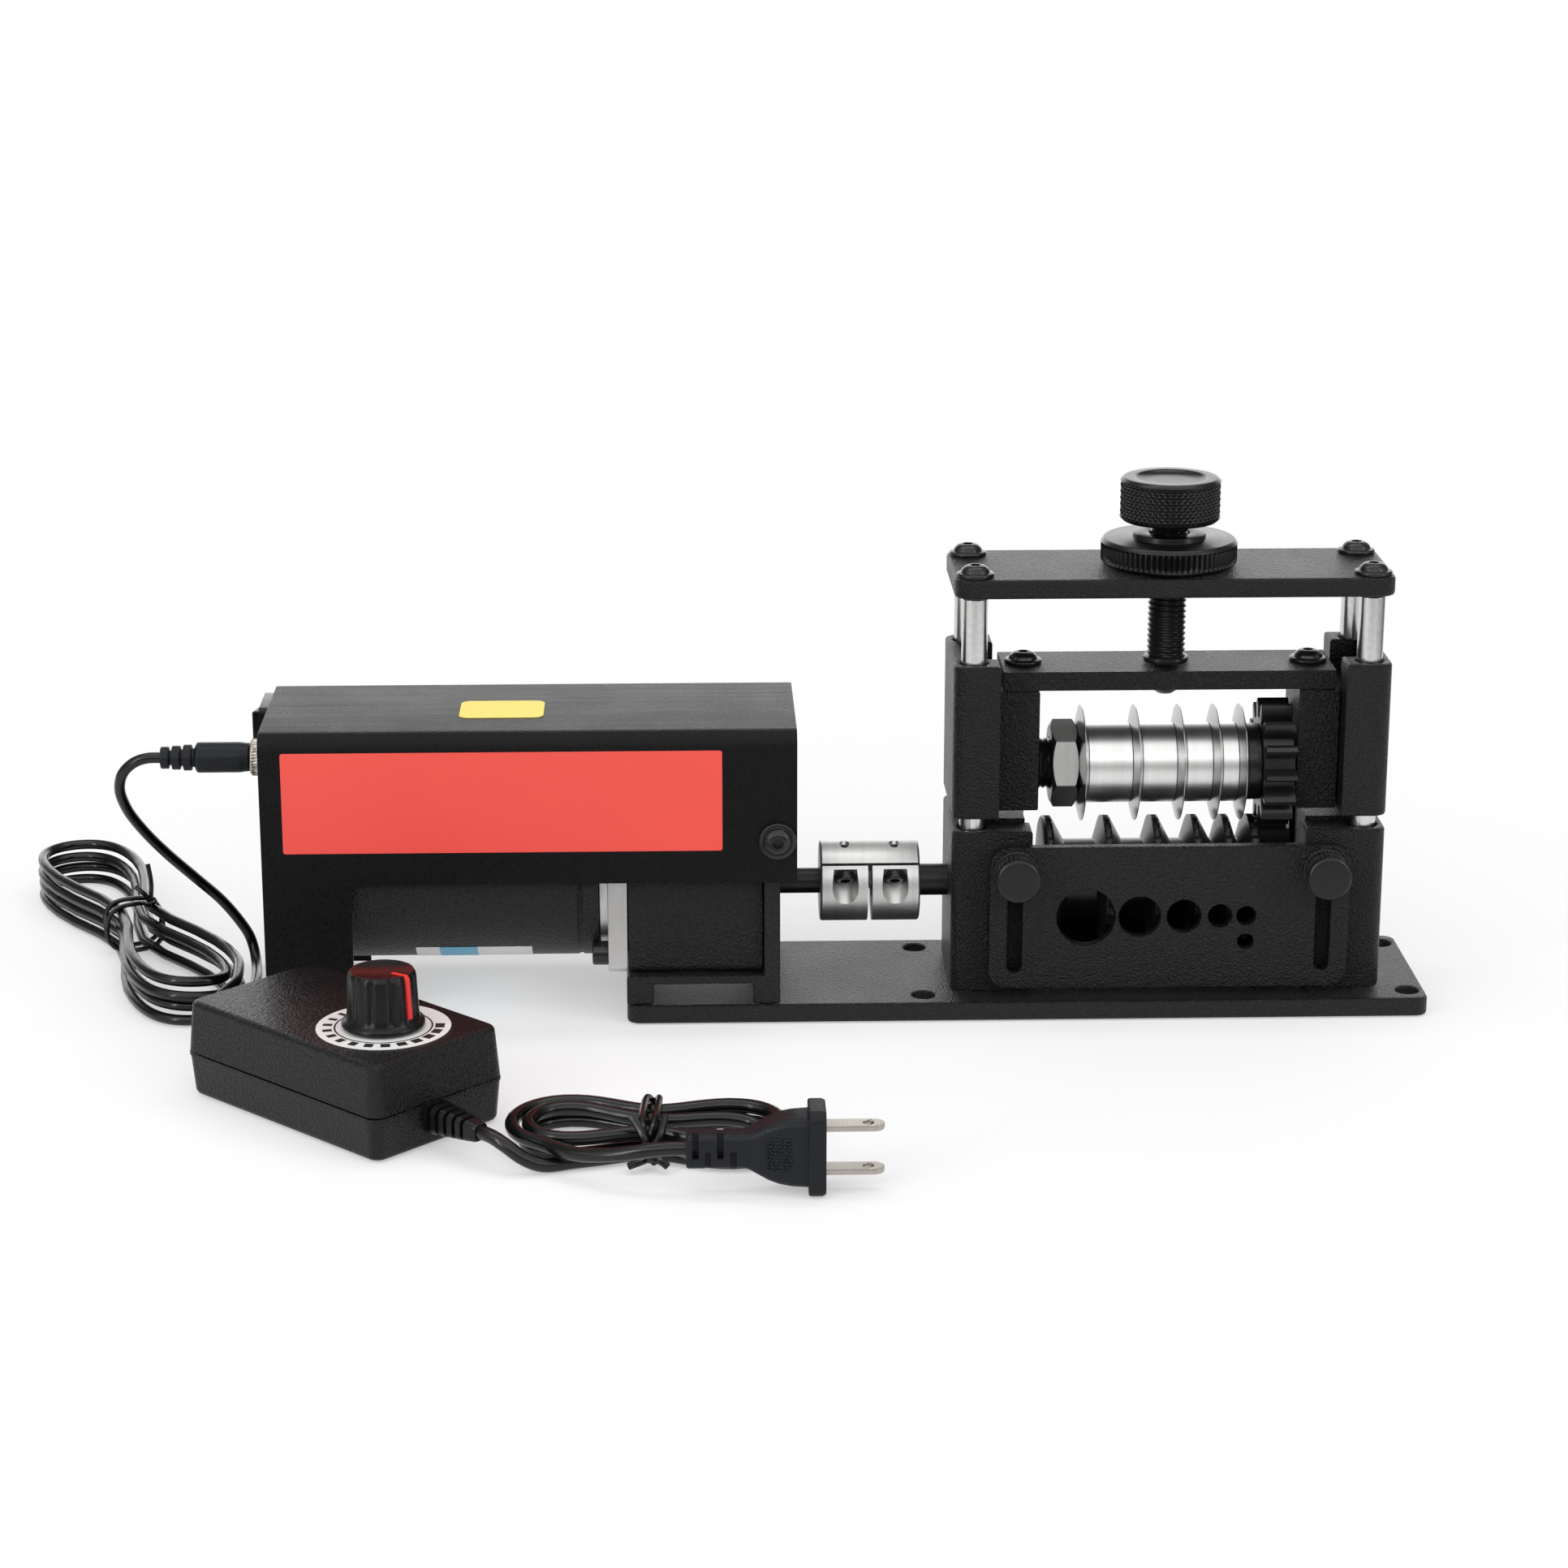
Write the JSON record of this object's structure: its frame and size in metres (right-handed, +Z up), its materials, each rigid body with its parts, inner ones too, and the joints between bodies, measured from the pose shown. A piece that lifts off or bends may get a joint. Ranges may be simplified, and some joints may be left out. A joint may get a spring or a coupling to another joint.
{
  "type": "electric wire stripping machine",
  "caption": "Bench wire stripping machine: a motor drives a grooved feed roller under round blades that slit cable insulation.",
  "frame": {"origin": "middle of the base plate's underside, on the bench", "axes": "+X to the right along the base plate, from the motor to the blades; +Y away from the user; +Z up"},
  "size_m": [0.4529, 0.2933, 0.1657],
  "materials": {
    "powder_coat": "black powder coat with a fine grain",
    "cover_coat": "satin black paint on bent sheet",
    "black_anodised": "matt black anodised",
    "black_oxide": "black oxide, lightly oiled",
    "bright_steel": "ground and polished",
    "bare_aluminium": "satin, machined",
    "nickel": "satin nickel plate",
    "black_plastic": "fine moulded grain",
    "cord_jacket": "soft glossy jacket"
  },
  "bodies": {
    "frame": {"base_plate": "powder_coat", "motor_bracket": "powder_coat", "gearbox": "powder_coat", "gearbox_end_plate": "bare_aluminium", "motor": "powder_coat", "motor_cover": "cover_coat", "power_jack": "nickel", "switch_frame": "black_plastic", "fixed_side_left": "powder_coat", "fixed_side_right": "powder_coat", "roller_bearing_block_left": "powder_coat", "roller_bearing_block_right": "powder_coat", "guide_rod_front_left": "bright_steel", "guide_rod_rear_left": "bright_steel", "guide_rod_front_right": "bright_steel", "guide_rod_rear_right": "bright_steel", "top_plate": "powder_coat", "rear_stay": "powder_coat", "adapter_base": "black_plastic", "adapter_lid": "black_plastic", "mains_relief": "black_plastic", "supply_relief": "black_plastic", "machine_plug": "cord_jacket", "machine_cord_lead": "cord_jacket", "machine_cord_hank": "cord_jacket", "machine_cord_tail": "cord_jacket", "mains_cord_lead": "cord_jacket", "mains_cord_hank": "cord_jacket", "mains_cord_tail": "cord_jacket", "mains_plug": "cord_jacket"},
    "roller": {"feed_roller": "black_oxide", "roller_gear": "black_oxide", "roller_shaft": "black_oxide", "shaft_coupling": "bare_aluminium", "output_shaft": "black_oxide"},
    "carriage": {"carriage_side_left": "powder_coat", "carriage_side_right": "powder_coat", "blade_bearing_block_left": "powder_coat", "blade_bearing_block_right": "powder_coat", "carriage_crossbar": "powder_coat"},
    "blade_assembly": {"blade_shaft": "black_oxide", "blade_clamp_nut": "black_oxide", "blade_1": "bright_steel", "blade_2": "bright_steel", "blade_3": "bright_steel", "blade_4": "bright_steel", "blade_5": "bright_steel", "blade_spacer_1": "bright_steel", "blade_spacer_2": "bright_steel", "blade_spacer_3": "bright_steel", "blade_spacer_4": "bright_steel", "blade_gear": "black_oxide"},
    "screw": {"adjusting_screw": "black_oxide", "adjusting_knob": "black_anodised"},
    "lock_wheel": {"lock_wheel": "black_anodised"},
    "guide_plate": {"guide_plate": "powder_coat"},
    "thumb_screw_left": {"thumb_screw_left": "black_anodised"},
    "thumb_screw_right": {"thumb_screw_right": "black_anodised"},
    "switch_rocker": {"switch_rocker": "black_plastic"},
    "speed_knob": {"speed_knob": "black_plastic"}
  },
  "joints": [
    {"name": "roller_turn", "type": "hinge", "parent": "frame", "child": "roller", "pos_m": [0.0435, 0, 0.0365], "axis": [1, 0, 0], "continuous": true},
    {"name": "carriage_slide", "type": "slide", "parent": "frame", "child": "carriage", "axis": [0, 0, 1], "range_m": [-0.0025, 0.018]},
    {"name": "screw_turn", "type": "hinge", "parent": "carriage", "child": "screw", "pos_m": [0.0435, 0, 0.125], "axis": [0, 0, 1], "range_deg": [-516, 3705]},
    {"name": "blade_turn", "type": "hinge", "parent": "carriage", "child": "blade_assembly", "pos_m": [0.0435, 0, 0.0745], "axis": [1, 0, 0], "continuous": true},
    {"name": "lock_wheel_turn", "type": "hinge", "parent": "frame", "child": "lock_wheel", "pos_m": [0.0435, 0, 0.143], "axis": [0, 0, 1], "range_deg": [0, 360]},
    {"name": "guide_plate_slide", "type": "slide", "parent": "frame", "child": "guide_plate", "axis": [0, 0, 1], "range_m": [0, 0.03]},
    {"name": "thumb_screw_left_turn", "type": "hinge", "parent": "frame", "child": "thumb_screw_left", "pos_m": [-0.0045, -0.031, 0.0468], "axis": [0, 1, 0], "range_deg": [0, 360]},
    {"name": "thumb_screw_right_turn", "type": "hinge", "parent": "frame", "child": "thumb_screw_right", "pos_m": [0.0915, -0.031, 0.0468], "axis": [0, 1, 0], "range_deg": [0, 360]},
    {"name": "switch_rock", "type": "hinge", "parent": "frame", "child": "switch_rocker", "pos_m": [-0.2363, 0.016, 0.085], "axis": [0, 0, 1], "range_deg": [0, 16]},
    {"name": "speed_knob_turn", "type": "hinge", "parent": "frame", "child": "speed_knob", "pos_m": [-0.19374, -0.11048, 0.038], "axis": [0, 0, 1], "range_deg": [-270, 0]}
  ],
  "couplings": [
    {"joint": "screw_turn", "follows": "carriage_slide", "rad_per_m": 3590.4},
    {"joint": "blade_turn", "follows": "roller_turn", "ratio": -1}
  ]
}
